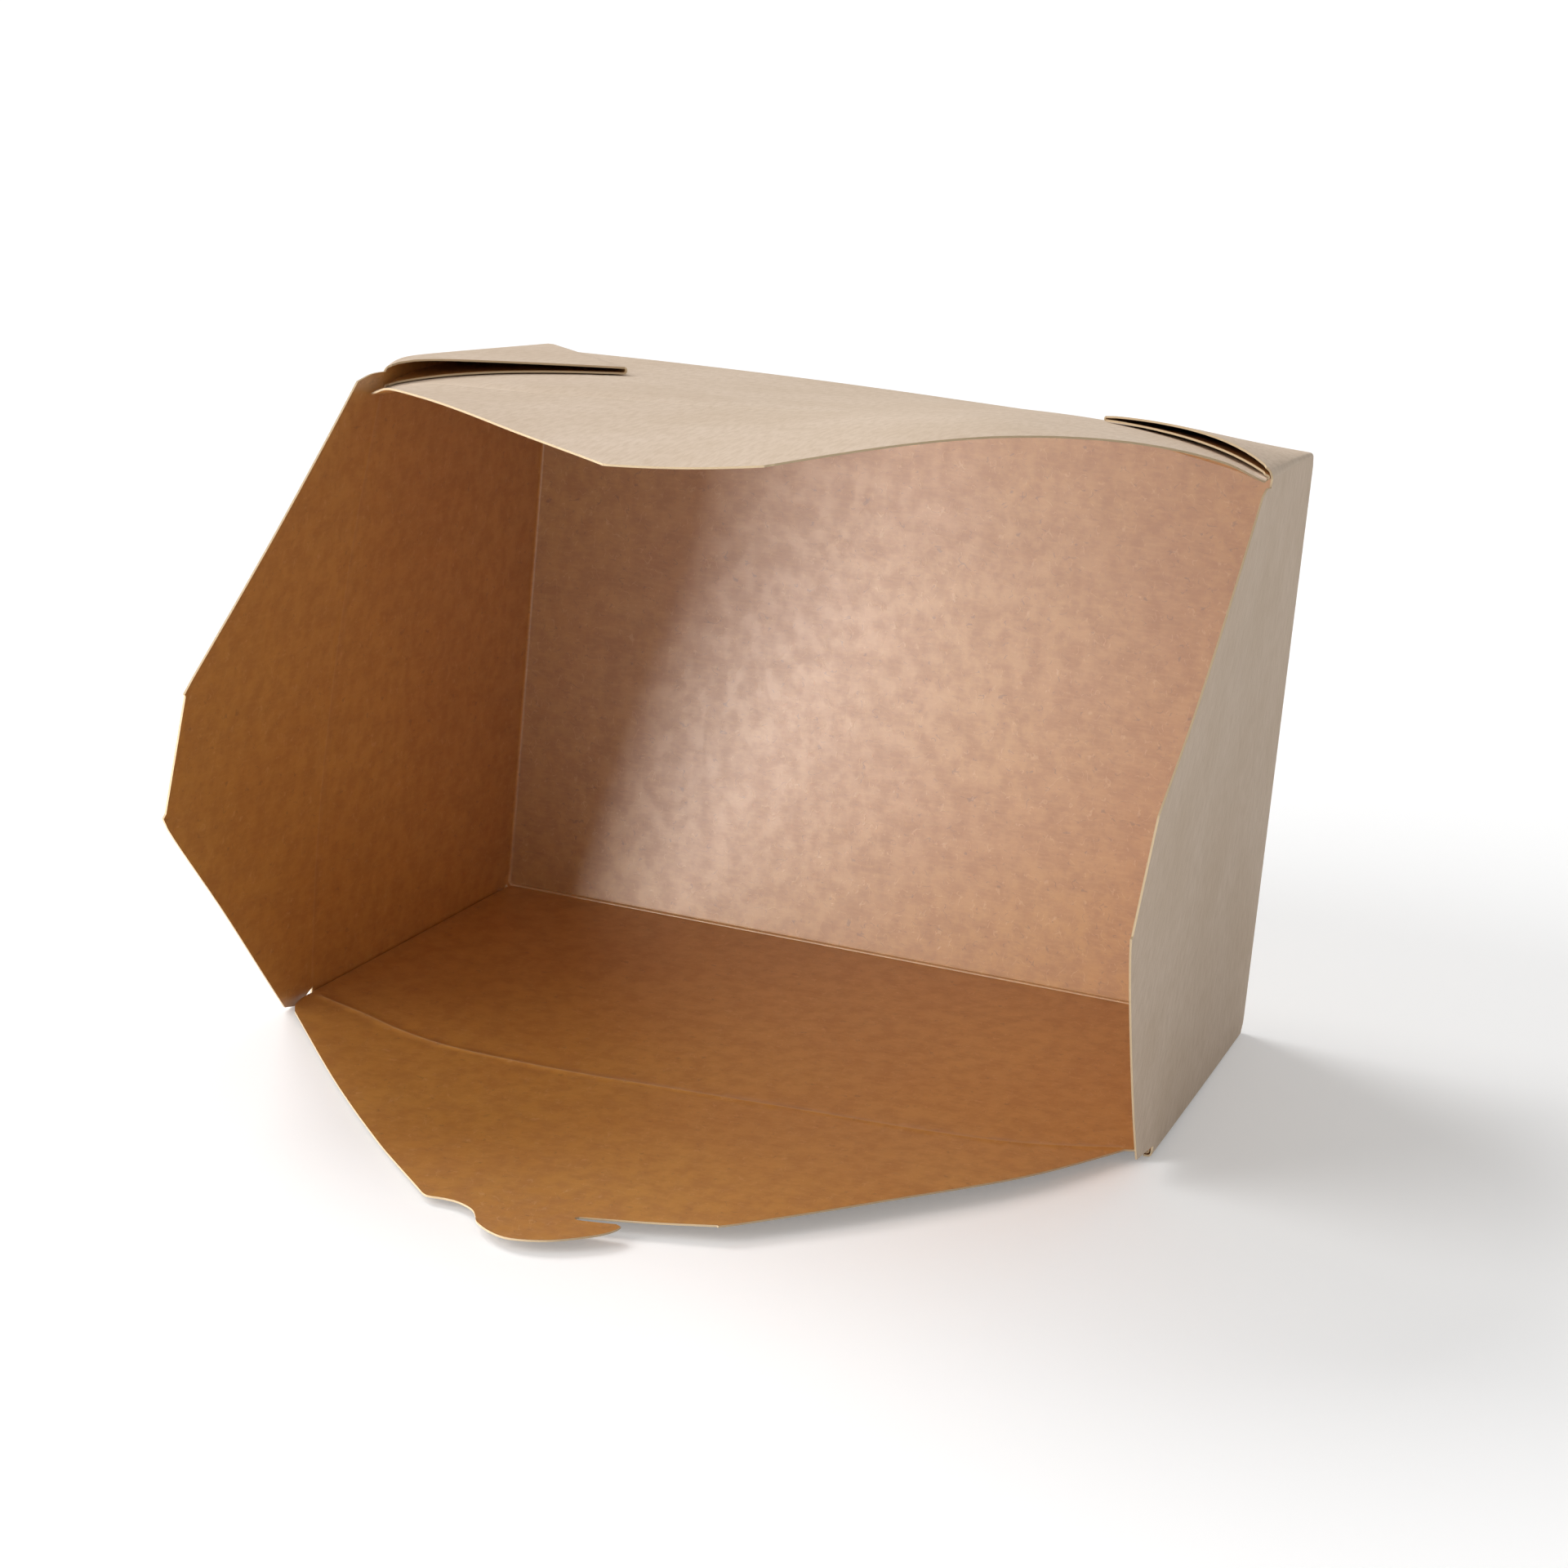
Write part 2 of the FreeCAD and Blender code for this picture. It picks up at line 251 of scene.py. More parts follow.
# %% Nodes that read the flat sheet
def folded(finish):
    """1 on a crease and 0 away from it."""
    made = finish.tree.nodes.new("ShaderNodeAttribute")
    made.attribute_name = "crease"
    return made.outputs["Fac"]


def noise(finish, scale, detail=4.0, stretch=(1, 1, 1), roughness=0.55):
    """Noise over the flat sheet, drawn out where the stretch is less than 1."""
    place = finish.tree.nodes.new("ShaderNodeAttribute")
    place.attribute_name = "sheet"
    stretched = finish.tree.nodes.new("ShaderNodeMapping")
    put(finish, stretched.inputs["Vector"], place.outputs["Vector"])
    put(finish, stretched.inputs["Scale"], stretch)
    made = finish.tree.nodes.new("ShaderNodeTexNoise")
    put(finish, made.inputs["Vector"], stretched.outputs[0])
    for name, value in (("Scale", scale), ("Detail", detail), ("Roughness", roughness)):
        put(finish, made.inputs[name], value)
    return made.outputs["Fac"]


def bump(finish, height, strength, distance):
    made = finish.tree.nodes.new("ShaderNodeBump")
    for name, value in (("Strength", strength), ("Distance", distance), ("Height", height)):
        put(finish, made.inputs[name], value)
    put(finish, finish.shader.inputs["Normal"], made.outputs[0])


# %% [markdown]
# ## The bare outside
#
# Outside, the board is the colour of sand and quite matt. Broad clouds, fine fibres along the sheet
# and dark flecks break up its colour, and a crease is rubbed a little lighter. Only the fibres
# raise the surface, by less than a tenth of a millimetre.

# %% The outside's recipe
outside = Finish("bare kraft outside")
cloud = ramp(outside, noise(outside, 28, 3), 0.3, 0.7)
fibre = noise(outside, 900, 5, (1, 0.22, 1), 0.62)
fleck = ramp(outside, noise(outside, 1500, 2, (0.5, 1, 1)), 0.66, 0.78)
paper = mixed(outside, cloud, tone("d6c1ab"), tone("ddc9b5"))
paper = mixed(outside, ramp(outside, fibre, 0.35, 0.7, 0.0, 0.42), paper, tone("bfa78c"))
paper = mixed(outside, calc(outside, "MULTIPLY", fleck, 0.3), paper, tone("8f7256"))
paper = mixed(outside, calc(outside, "MULTIPLY", folded(outside), 0.35), paper, tone("e2d2bd"))
put(outside, outside.shader.inputs["Base Color"], paper)
outside.shader.inputs["Roughness"].default_value = 0.82
outside.shader.inputs["Specular IOR Level"].default_value = 0.25
bump(outside, fibre, 0.25, 0.00008)
print("outside:", len(outside.tree.nodes), "nodes")

# %% [markdown]
# ## The filmed inside
#
# The film that keeps grease out of the board makes its brown deeper and gives it a satin gloss. It
# is made with the shader's coat. One even roughness would give a highlight as clean as plastic's, so
# a mottle of the pulp varies both the colour and the gloss. The pulp also shows single hairs: a
# hair is the line on which a noise passes its middle, and a second noise keeps only a few of them.

# %% Hairs in the pulp
def hairs(finish, scale, stretch, width, spread):
    """Thin curved hairs: the line where a noise passes its middle, kept only in a few places."""
    crossing = calc(finish, "ABSOLUTE", calc(finish, "SUBTRACT", noise(finish, scale, 1, stretch), 0.5))
    line = ramp(finish, crossing, 0.0, width, 1.0, 0.0)
    few = ramp(finish, noise(finish, scale * 1.7, 2), spread, spread + 0.06)
    return calc(finish, "MULTIPLY", line, few)


inside = Finish("filmed kraft inside")
pale_hairs = hairs(inside, 330, (1, 0.7, 1), 0.02, 0.52)
dark_hairs = hairs(inside, 300, (0.7, 1, 1), 0.016, 0.54)
print("two kinds of hair:", len(inside.tree.nodes), "nodes")

# %% The inside's colour
cloud = ramp(inside, noise(inside, 22, 4), 0.28, 0.72)
mottle = noise(inside, 210, 5, (1, 0.85, 1), 0.6)
fibre = noise(inside, 1000, 4, (0.25, 1, 1), 0.6)
brown = mixed(inside, cloud, tone("b5792c"), tone("be8637"))
brown = mixed(inside, ramp(inside, mottle, 0.35, 0.65, 0.0, 0.6), brown, tone("a0641f"))
brown = mixed(inside, ramp(inside, fibre, 0.4, 0.75, 0.0, 0.35), brown, tone("c8924c"))
brown = mixed(inside, calc(inside, "MULTIPLY", pale_hairs, 0.32), brown, tone("d9ab78"))
brown = mixed(inside, calc(inside, "MULTIPLY", dark_hairs, 0.4), brown, tone("5e3413"))
brown = mixed(inside, calc(inside, "MULTIPLY", folded(inside), 0.4), brown, tone("dcc19c"))
put(inside, inside.shader.inputs["Base Color"], brown)
print("the inside's colour:", len(inside.tree.nodes), "nodes so far")

# %% The inside's gloss and relief
put(inside, inside.shader.inputs["Roughness"], ramp(inside, mottle, 0.35, 0.65, 0.44, 0.53))
inside.shader.inputs["Specular IOR Level"].default_value = 1.0
inside.shader.inputs["Coat Weight"].default_value = 1.0
inside.shader.inputs["Coat Roughness"].default_value = 0.44
inside.shader.inputs["Coat IOR"].default_value = 1.65
relief = calc(inside, "MULTIPLY", fibre, 0.6)
relief = calc(inside, "ADD", relief, calc(inside, "MULTIPLY", pale_hairs, 0.7))
relief = calc(inside, "ADD", relief, calc(inside, "MULTIPLY", mottle, 0.12))
bump(inside, relief, 0.3, 0.0001)
print("inside:", len(inside.tree.nodes), "nodes")

# %% [markdown]
# ## The pale cut edge
#
# The die cuts through the board and bares its core, which is pale and rough. It is under half a
# millimetre wide, but it draws the light line round every flap that makes the sheet read as board.

# %% The edge's recipe
cut_edge = Finish("cut edge of the board")
core = mixed(cut_edge, noise(cut_edge, 2500, 3), tone("d3bf9f"), tone("bba07a"))
put(cut_edge, cut_edge.shader.inputs["Base Color"], core)
cut_edge.shader.inputs["Roughness"].default_value = 0.9
print("cut edge:", len(cut_edge.tree.nodes), "nodes")

# %% [markdown]
# ## Giving a sheet its thickness
#
# Each panel is first drawn as a thin middle surface. The Solidify modifier could thicken it, and
# that is the usual choice. Here the offset is done by hand, because the same step has to keep
# the sheet's flat coordinates, mark the creases and give the three finishes to the three kinds of
# face: outside, inside and cut edge.

# %% Which way a sheet faces and where it ends
def facing(middle, faces):
    """The normal at each point of a sheet, averaged over the faces that meet there."""
    normals = np.zeros_like(middle)
    for face in faces:
        a, b, c = middle[face[0]], middle[face[1]], middle[face[2]]
        d = middle[face[-1]]
        normal = np.cross(c - a, d - b) if len(face) == 4 else np.cross(b - a, c - a)
        for index in face:
            normals[index] += normal
    return normals / np.maximum(np.linalg.norm(normals, axis=1), 1e-12)[:, None]


def cut_rim(faces):
    """The edges that have a face on one side only: that is where the die has cut."""
    edges = dict.fromkeys((a, b) for face in faces for a, b in zip(face, face[1:] + face[:1]))
    return [(a, b) for a, b in edges if (b, a) not in edges]


print("a single square has", len(cut_rim([[0, 1, 2, 3]])), "cut edges")

# %% A board from its middle surface
SIDES_APART = 0.4


def board_object(name, middle, faces, sheet, crease):
    """A closed board around a middle surface in row millimetres. Its faces wind so that their
    normals point to the outside of the box."""
    middle = np.asarray(middle, float)
    normals = facing(middle, faces)
    count = len(middle)
    rim = cut_rim(faces)
    all_faces = [list(face) for face in faces]
    all_faces += [[index + count for index in reversed(face)] for face in faces]
    all_faces += [[b, a, a + count, b + count] for a, b in rim]
    mesh = bpy.data.meshes.new(name)
    both_sides = np.vstack([middle + normals * BOARD / 2, middle - normals * BOARD / 2])
    mesh.from_pydata(both_sides * MM, [], all_faces)
    for finish in (outside, inside, cut_edge):
        mesh.materials.append(finish.material)
    kinds = [0] * len(faces) + [1] * len(faces) + [2] * len(rim)
    mesh.polygons.foreach_set("material_index", kinds)
    mesh.polygons.foreach_set("use_smooth", [kind != 2 for kind in kinds])
    rim_pairs = {tuple(sorted(pair)) for pair in rim}
    rim_pairs |= {(a + count, b + count) for a, b in rim_pairs}
    sharp = mesh.attributes.new("sharp_edge", "BOOLEAN", "EDGE")
    sharp.data.foreach_set("value", [tuple(sorted(e.vertices)) in rim_pairs for e in mesh.edges])
    write_sheet(mesh, np.asarray(sheet, float) * MM, np.asarray(crease, float))
    made = bpy.data.objects.new(name, mesh)
    bpy.context.scene.collection.objects.link(made)
    print(name, "has", len(mesh.polygons), "faces")
    return made


def write_sheet(mesh, flat, crease):
    """The two attributes that the finishes read. The inside gets a place of its own, so that its
    clouds aren't the outside's."""
    place = mesh.attributes.new("sheet", "FLOAT_VECTOR", "POINT")
    place.data.foreach_set("vector", np.vstack([flat, flat + [0, 0, SIDES_APART]]).ravel())
    marked = mesh.attributes.new("crease", "FLOAT", "POINT")
    marked.data.foreach_set("value", np.tile(crease, 2))


# %% [markdown]
# ## The tray: base, folds and walls
#
# The base and the walls are grids that share their edge points, so the sheet runs on round each
# fold. A Bevel modifier could round the folds of a plain box, but it would lose the flat sheet's
# coordinates. So the points are collected by hand, and a point that two panels share is kept once.

# %% Collecting the sheet's points
SAME_PLACE_DIGITS = 4


class Sheet:
    """Points that are shared where panels meet, with their flat place and their crease mark."""

    def __init__(self):
        self.points, self.flat, self.crease, self.index, self.faces = [], [], [], {}, []

    def add(self, point, flat, crease=0.0):
        key = tuple(round(float(value), SAME_PLACE_DIGITS) for value in point)
        if key not in self.index:
            self.index[key] = len(self.points)
            self.points.append([float(value) for value in point])
            self.flat.append((flat[0], flat[1], 0.0))
            self.crease.append(crease)
        return self.index[key]

    def grid(self, rows, flip=False, keep=lambda row, column: True):
        for r in range(len(rows) - 1):
            for c in range(len(rows[r]) - 1):
                if not keep(r, c):
                    continue
                face = [rows[r][c], rows[r][c + 1], rows[r + 1][c + 1], rows[r + 1][c]]
                face = [index for i, index in enumerate(face) if index not in face[:i]]
                if len(face) >= 3:
                    self.faces.append(face[::-1] if flip else face)


tray_sheet = Sheet()
print("the tray's sheet starts with", len(tray_sheet.points), "points")

# %% [markdown]
# ## Folds are bends
#
# A fold in board is no knife edge: it is a bend of about a millimetre. A quadratic curve with its
# middle handle on the sharp corner draws it. Where the crease was pressed hardest, between the base
# and the wall on the floor, the board has risen in a bead with a groove beside it, which catches
# the light as a fine double line.

# %% A rounded fold and its bead
BEAD_HEIGHT, BEAD_AT = 0.34, 0.62
GROOVE_DEPTH, GROOVE_AT = 0.16, 0.25


def bend(start, corner, end, share):
    """A point of the rounded fold from start to end, with its handle on the sharp corner."""
    start, corner, end = (np.asarray(p, float) for p in (start, corner, end))
    return (1 - share) ** 2 * start + 2 * share * (1 - share) * corner + share ** 2 * end


def bead(share):
    """The ridge that a pressed fold raises on the inside, in mm, with a groove on the base's side."""
    ridge = BEAD_HEIGHT * math.exp(-((share - BEAD_AT) / 0.15) ** 2)
    groove = GROOVE_DEPTH * math.exp(-((share - GROOVE_AT) / 0.12) ** 2)
    return (ridge - groove) * math.sin(math.pi * share) ** 0.5


print("the bead stands", round(bead(BEAD_AT), 2), "mm high")

# %% Rows up a wall and columns along it
FOLD = 1.3
HALF_BOARD = BOARD / 2
LONG_STEPS = np.linspace(-1, 1, 61)
SHORT_STEPS = np.linspace(-1, 1, 45)
BEND_STEPS = np.linspace(0, 1, 13)
WALL_SHARES = np.concatenate([[0.03, 0.05], np.linspace(0.08, 1, 36)])


def corner_half(share, along):
    """Half a wall's length at that share of its height, to where its corner bend starts."""
    half = (BASE_HALF_LONG, RIM_HALF_LONG) if along == "long" else (BASE_HALF_SHORT, RIM_HALF_SHORT)
    return half[0] + (half[1] - half[0]) * share - FOLD


print("half the long wall's rim, up to its bend:", round(corner_half(1.0, "long"), 2), "mm")

# %% [markdown]
# ## The webs at the corners
#
# A web is what makes a folded tray hold without glue: the sheet between two walls is folded along a
# diagonal and laid flat on the outside of the long wall. From the long wall it turns back on itself
# (the inner layer), goes round the diagonal fold, and comes back as the outer layer, which
# runs round the corner into the short wall. Its free cut edge runs from the fold's tip to the
# rim. Three flat triangles would look like stickers, so each row of the web is one path through
# both layers and their bends. Nothing presses the webs on top together: at the right the outer
# layer gapes, and at the left the wall's corner has dropped away from under it.

# %% Sizes of a web
HALF_WEB = math.radians(41)
WEB_REACH = 50.0
WEB_EDGE = 90.44
WEB_TIP = WEB_REACH * math.tan(HALF_WEB)
LEAN = math.atan((RIM_HALF_LONG - BASE_HALF_LONG) / SLANT)
GAPE = {(-1, 1): 0.0, (1, 1): 3.0, (-1, -1): 0.0, (1, -1): 0.0}


def web_width(along_edge):
    """How far the web reaches in from the corner edge at that height up the edge."""
    if along_edge <= WEB_REACH:
        width = along_edge * math.tan(HALF_WEB)
    else:
        width = WEB_TIP * (WEB_EDGE - along_edge) / (WEB_EDGE - WEB_REACH)
    return max(width, FOLD + 0.6)


def web_place(corner, along_edge, inward, out):
    """A point of a web, in the long wall's plane: up the corner edge and square in from it."""
    side_x, side_y = corner
    across = BASE_HALF_LONG + along_edge * math.sin(LEAN) - inward * math.cos(LEAN)
    up = along_edge * math.cos(LEAN) + inward * math.sin(LEAN)
    return on_long_wall(side_y, side_x * across, up, out)


print("web tip", round(WEB_TIP, 2), "mm in from the corner edge")

# %% How far a web's layers stand off their wall
def stand_off(corner, layer, along_edge, inward):
    """How far out of the long wall a web layer lies. On top both layers ride on the wall's crest, but
    only the inner one follows the dipping corner: the outer one is held by the short wall."""
    rest = (INSIDE_LAYER, OUTSIDE_LAYER)[layer]
    if corner[1] < 0:
        return rest
    across = corner[0] * (BASE_HALF_LONG + along_edge * math.sin(LEAN) - inward * math.cos(LEAN))
    height = along_edge / WEB_EDGE
    towards_tip = min(1.0, max(0.0, inward / WEB_TIP))
    belly = GAPE[corner] * height ** 2 * (4 * towards_tip * (1 - towards_tip)) ** 0.6
    if layer == 0:
        return rest + crest(across, along_edge) - corner_dip(across, along_edge) + 0.35 * belly
    if corner[0] < 0:
        held = 0.6 * height - 2.6 * math.exp(-math.hypot(inward, WEB_EDGE - along_edge) / 4)
        return rest + crest(across, along_edge) + held
    return rest + crest(across, along_edge) + belly


for corner in GAPE:
    print("web", corner, "stands", round(stand_off(corner, 1, 85, 6), 1), "mm off near the rim")

# %% [markdown]
# ## The base and the four walls
#
# The base is an even grid. Each wall starts on the base's own edge points, goes round its fold and
# up to the rim. The short walls reach a little past the long ones, because the web's outer layer
# comes round the corner into them.

# %% The base
base_rows = []
for y_step in SHORT_STEPS:
    row = []
    for x_step in LONG_STEPS:
        x, y = x_step * (BASE_HALF_LONG - FOLD), y_step * (BASE_HALF_SHORT - FOLD)
        row.append(tray_sheet.add(laid([(x, y, HALF_BOARD)])[0], (x, y)))
    base_rows.append(row)
tray_sheet.grid(base_rows, flip=True)
print("base:", len(tray_sheet.points), "points")

# %% One wall, from its fold to the rim
FLOOR_FOLD_WEAR = 1.0
OTHER_FOLD_WEAR = 0.15


def fold_row(place, along, side, half, steps, share):
    """One row of a fold, with its share of the way from the base to the wall."""
    foot = (BASE_HALF_LONG if along == "long" else BASE_HALF_SHORT) - FOLD
    worn = FLOOR_FOLD_WEAR if along == "long" and side < 0 else OTHER_FOLD_WEAR
    row = []
    for step in steps:
        reach = step * foot
        on_base = (reach, side * (half - FOLD), HALF_BOARD)
        sharp = (reach, side * (half - HALF_BOARD), HALF_BOARD)
        if along == "short":
            on_base, sharp = (on_base[1], on_base[0], HALF_BOARD), (sharp[1], sharp[0], HALF_BOARD)
        on_wall = place(side, reach, FOLD, -HALF_BOARD)
        inwards = np.add(on_base, on_wall) - 2 * np.array(sharp)
        inwards = inwards / np.linalg.norm(inwards)
        point = bend(on_base, sharp, on_wall, share) + inwards * worn * bead(share)
        flat = (reach, side * (half + FOLD * (2 * share - 1)))
        flat = flat if along == "long" else flat[::-1]
        row.append(tray_sheet.add(laid([point])[0], flat, worn * (1 - abs(2 * share - 1))))
    return row


def wall_rows(along, side, steps, height, extra):
    """The rows of one wall, from the base's edge round the fold to the rim. extra is how much
    wider than its own corner the wall is, at a share of its height and towards one end."""
    place = on_long_wall if along == "long" else on_short_wall
    half = BASE_HALF_SHORT if along == "long" else BASE_HALF_LONG
    rows = [fold_row(place, along, side, half, steps, share) for share in BEND_STEPS]
    for share in WALL_SHARES:
        row = []
        for step in steps:
            end = 1 if step > 0 else -1
            reach = step * (corner_half(share, along) + abs(step) ** 6 * extra(share, end))
            up = share * height
            flat = (reach, side * (half + up)) if along == "long" else (side * (half + up), reach)
            out = crest(reach, up) - corner_dip(reach, up) if along == "long" and side > 0 else 0.0
            row.append(tray_sheet.add(laid([place(side, reach, up, out - HALF_BOARD)])[0], flat))
        rows.append(row)
    return rows


# %% The four walls
WRAP = 1.0
long_rows = {s: wall_rows("long", s, LONG_STEPS, LONG_WALL, lambda share, end: 0.0) for s in (-1, 1)}


def short_extra(side_x):
    """The short wall reaches past the long wall, as far as the web's outer layer stands off."""
    def extra(share, end):
        return FOLD - WRAP + stand_off((side_x, end), 1, share * WEB_EDGE, 0)
    return extra


short_rows = {s: wall_rows("short", s, SHORT_STEPS, SHORT_WALL, short_extra(s)) for s in (-1, 1)}
for side in (-1, 1):
    tray_sheet.grid(long_rows[side], flip=side == 1)
    tray_sheet.grid(short_rows[side], flip=side == -1)
print("base and walls:", len(tray_sheet.points), "points")

# %% [markdown]
# ## One path through both layers of a web
#
# Seen along the corner edge, a web is a flattened S. It leaves the long wall's edge, turns over, runs
# in under the outer layer, turns again at the diagonal fold, comes back on the outside and bends
# round the corner. Above its tip the diagonal fold ends, and the two layers are cut apart.

# %% One row of a web
WEB_STEPS = np.linspace(0, 1, 13)
TURN_STEPS = np.linspace(0, 1, 7)[1:-1]
TURN_BULGE = 0.5
TURN_MARK = 0.8


def web_path(corner, share):
    """One row of a web, from the long wall's edge to the short wall's, as points and marks."""
    edge = share * WEB_EDGE
    width = web_width(edge)
    path = []
    near = stand_off(corner, 0, edge, FOLD)
    radius = (INSIDE_LAYER + HALF_BOARD) / 2
    for turn in TURN_STEPS:
        angle = turn * math.pi
        inward = FOLD - radius * math.sin(angle)
        out = near - radius - radius * math.cos(angle)
        path.append((web_place(corner, edge, inward, out), inward, TURN_MARK))
    for step in WEB_STEPS:
        inward = FOLD + (width - FOLD) * step
        path.append((web_place(corner, edge, inward, stand_off(corner, 0, edge, inward)), inward, 0.0))
    low, high = (stand_off(corner, layer, edge, width) for layer in (0, 1))
    for turn in TURN_STEPS:
        angle = turn * math.pi
        radius = (high - low) / 2
        out = low + radius - radius * math.cos(angle)
        inward = width + min(radius, TURN_BULGE) * math.sin(angle)
        path.append((web_place(corner, edge, inward, out), inward, TURN_MARK))
    for step in WEB_STEPS[::-1]:
        inward = WRAP + (width - WRAP) * step
        path.append((web_place(corner, edge, inward, stand_off(corner, 1, edge, inward)), -inward, 0.0))
    return path


print("a web's row has", len(web_path((1, 1), 1.0)), "points")

# %% All rows of a web
WEB_PLACE_ON_SHEET = (140, 110)
CORNER_MARK = 0.5


def web_rows(corner):
    """The rows of one web, with the corner's bend into the short wall."""
    side_x, side_y = corner
    rows, first = [], len(BEND_STEPS)
    sheet_x, sheet_y = WEB_PLACE_ON_SHEET
    for number, share in enumerate(WALL_SHARES):
        start = long_rows[side_y][first + number][-1 if side_x > 0 else 0]
        stop = short_rows[side_x][first + number][-1 if side_y > 0 else 0]
        edge = share * WEB_EDGE
        out = stand_off(corner, 1, edge, 0)
        row = [start]
        for point, inward, crease in web_path(corner, share):
            flat = (side_x * (sheet_x + inward), side_y * (sheet_y + edge))
            row.append(tray_sheet.add(laid([point])[0], flat, crease))
        on_web = np.array(web_place(corner, edge, WRAP, stand_off(corner, 1, edge, WRAP)))
        sharp = np.array(web_place(corner, edge, HALF_BOARD, out))
        short_half = corner_half(share, "short") + FOLD - WRAP + out
        on_wall = np.array(on_short_wall(side_x, side_y * short_half, share * SHORT_WALL, -HALF_BOARD))
        for step in TURN_STEPS:
            point = bend(on_web, sharp, on_wall, step)
            flat = (side_x * sheet_x, side_y * (sheet_y + edge))
            row.append(tray_sheet.add(laid([point])[0], flat, CORNER_MARK))
        row.append(stop)
        rows.append(row)
    return rows


# %% The foot of a corner
def corner_pinch(corner):
    """At the foot of a corner edge the two walls' ends are pinched together."""
    side_x, side_y = corner
    rows = []
    for number in range(len(BEND_STEPS) + 1):
        start = long_rows[side_y][number][-1 if side_x > 0 else 0]
        stop = short_rows[side_x][number][-1 if side_y > 0 else 0]
        rows.append([start, stop])
    return rows


# %% The four webs
diagonal = range(len(TURN_STEPS) + len(WEB_STEPS), 2 * len(TURN_STEPS) + len(WEB_STEPS) + 1)
above_tip = [share > WEB_REACH / WEB_EDGE + 0.01 for share in WALL_SHARES]
for corner in GAPE:
    tray_sheet.grid(corner_pinch(corner), flip=corner[0] * corner[1] == 1)
    tray_sheet.grid(
        web_rows(corner),
        flip=corner[0] * corner[1] == 1,
        keep=lambda row, column: not (above_tip[row + 1] and column in diagonal),
    )
print("tray with webs:", len(tray_sheet.points), "points,", len(tray_sheet.faces), "faces")

# %% The tray as a piece
tray = board_object("tray_sheet", tray_sheet.points, tray_sheet.faces, tray_sheet.flat,
                    tray_sheet.crease)
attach(tray, "tray")
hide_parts("tray")

# %% [markdown]
# ## Cutting a flap
#
# A flap has a shape that no grid follows: slanted sides with a belly, round corners, and on one
# flap a hook with a slit beside it. So its outline is drawn first, as a few points joined by smooth
# curves, and filled with a constrained triangulation: triangles that keep the outline and the
# crease lines as edges. Points inside at even steps leave the mesh fine enough to curl. A filled
# curve object would be quicker, but its long thin triangles could not bend.

# %% Drawing an outline
def smooth_line(points, step=1.5):
    """A smooth curve that passes through a few points, cut into even short steps."""
    p = np.asarray(points, float)
    p = np.vstack([2 * p[0] - p[1], p, 2 * p[-1] - p[-2]])
    made = []
    for i in range(1, len(p) - 2):
        pieces = max(1, int(round(np.linalg.norm(p[i + 1] - p[i]) / step)))
        for t in np.arange(pieces) / pieces:
            made.append(0.5 * (2 * p[i] + (p[i + 1] - p[i - 1]) * t
                               + (2 * p[i - 1] - 5 * p[i] + 4 * p[i + 1] - p[i + 2]) * t ** 2
                               + (3 * p[i] - p[i - 1] - 3 * p[i + 1] + p[i + 2]) * t ** 3))
    made.append(p[-2])
    return np.array(made)


def outline_of(*runs):
    """Several smooth runs, each starting where the one before it ends, as one closed outline."""
    made = [smooth_line(run)[:-1] for run in runs]
    return np.vstack(made)


print("a quarter bend of 10 mm is cut into", len(smooth_line([(0, 0), (7, 3), (10, 10)])), "points")

# %% What lies inside an outline
def inside_of(points, outline):
    """Which points lie inside a closed outline, by counting crossings."""
    x, y = points.T
    hit = np.zeros(len(points), bool)
    for (x1, y1), (x2, y2) in zip(outline, np.roll(outline, -1, 0)):
        crosses = (y1 > y) != (y2 > y)
        slope = (x2 - x1) * (y - y1) / (y2 - y1 + 1e-12) + x1
        hit ^= crosses & (x < slope)
    return hit


def clear_of(points, outline, gap):
    """Which points lie inside the outline and at least that far from it."""
    near = np.array([np.min(np.sum((outline - p) ** 2, 1)) for p in points])
    return inside_of(points, outline) & (near > gap ** 2)


# %% Filling an outline with triangles
def filled(outline, lines, step=2.4):
    """The outline and lines as a triangle mesh: points, triangles, and each point's crease mark."""
    low, high = outline.min(0), outline.max(0)
    x, y = np.meshgrid(np.arange(low[0], high[0], step), np.arange(low[1], high[1], step * 0.87))
    x = x + (np.arange(len(x)) % 2)[:, None] * step / 2
    inner = np.stack([x.ravel(), y.ravel()], 1)
    inner = inner[inside_of(inner, outline)]
    lines = [(line[clear_of(line, outline, 0.9)], mark) for line, mark in lines]
    fixed = np.vstack([outline] + [line for line, mark in lines])
    near = np.array([np.min(np.sum((fixed - p) ** 2, 1)) for p in inner])
    inner = inner[near > (0.45 * step) ** 2]
    points, edges = [tuple(p) for p in outline], [(i, (i + 1) % len(outline)) for i in range(len(outline))]
    marks = {}
    for line, mark in lines:
        start = len(points)
        points += [tuple(p) for p in line]
        edges += [(start + i, start + i + 1) for i in range(len(line) - 1)]
        marks.update({start + i: mark for i in range(len(line))})
    points += [tuple(p) for p in inner]
    out = delaunay_2d_cdt([Vector(p) for p in points], edges, [], 1, 1e-4, True)
    marked = [max([marks.get(i, 0.0) for i in source] or [0.0]) for source in out[3]]
    flat = np.array([tuple(p) for p in out[0]])
    triangles = np.array([list(face) for face in out[2]])
    triangles = triangles[inside_of(flat[triangles].mean(1), outline)]
    return flat, triangles.tolist(), marked


# %% [markdown]
# ## Creases in a flap
#
# The press leaves a groove outside and a ridge inside. A middle line of points that is sunk a little,
# between two shoulder lines that stay in place, gives that groove real depth in a very thin mesh.

# %% A pressed crease
CREASE_DEPTH = 0.16


